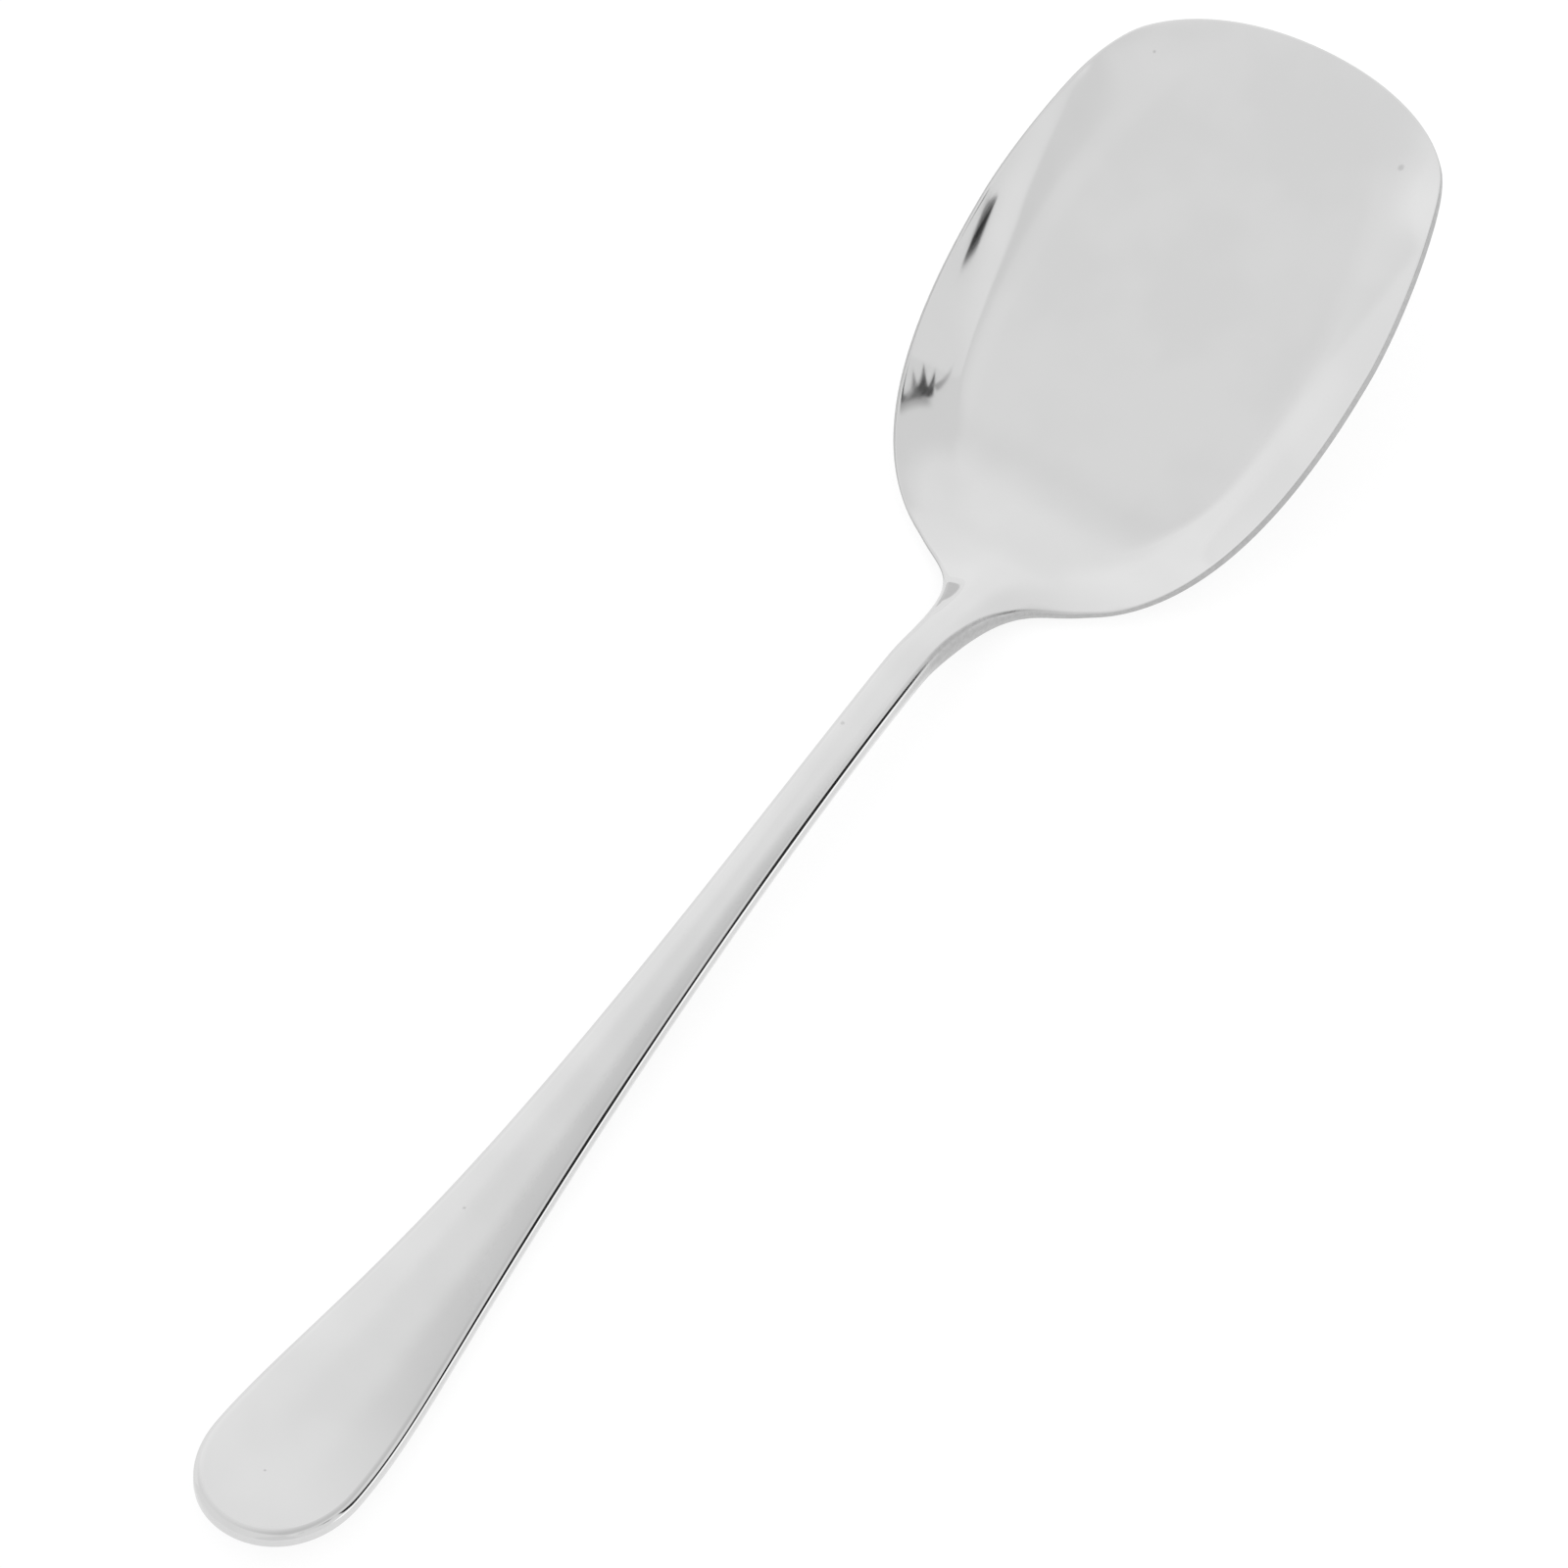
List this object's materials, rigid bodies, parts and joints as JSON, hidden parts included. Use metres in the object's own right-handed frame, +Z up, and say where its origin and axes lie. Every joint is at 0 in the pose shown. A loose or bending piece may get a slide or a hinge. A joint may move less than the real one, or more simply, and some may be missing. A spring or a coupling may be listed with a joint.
{
  "type": "serving spatula",
  "caption": "Serving spatula of polished stainless steel: a broad, shallow scoop blade with an open front edge, a slim cranked neck and a tapering handle with a wide round end.",
  "frame": {"origin": "on the table, below the middle of the bounding box, with the spatula lying at rest on the belly of its handle and the heel of its blade", "axes": "+X along the length, from the handle to the front edge of the blade; +Y to the left; +Z up"},
  "size_m": [0.2502, 0.0586, 0.0287],
  "materials": {
    "polished_steel": "polished"
  },
  "bodies": {
    "root": {"spatula": "polished_steel"}
  },
  "joints": []
}
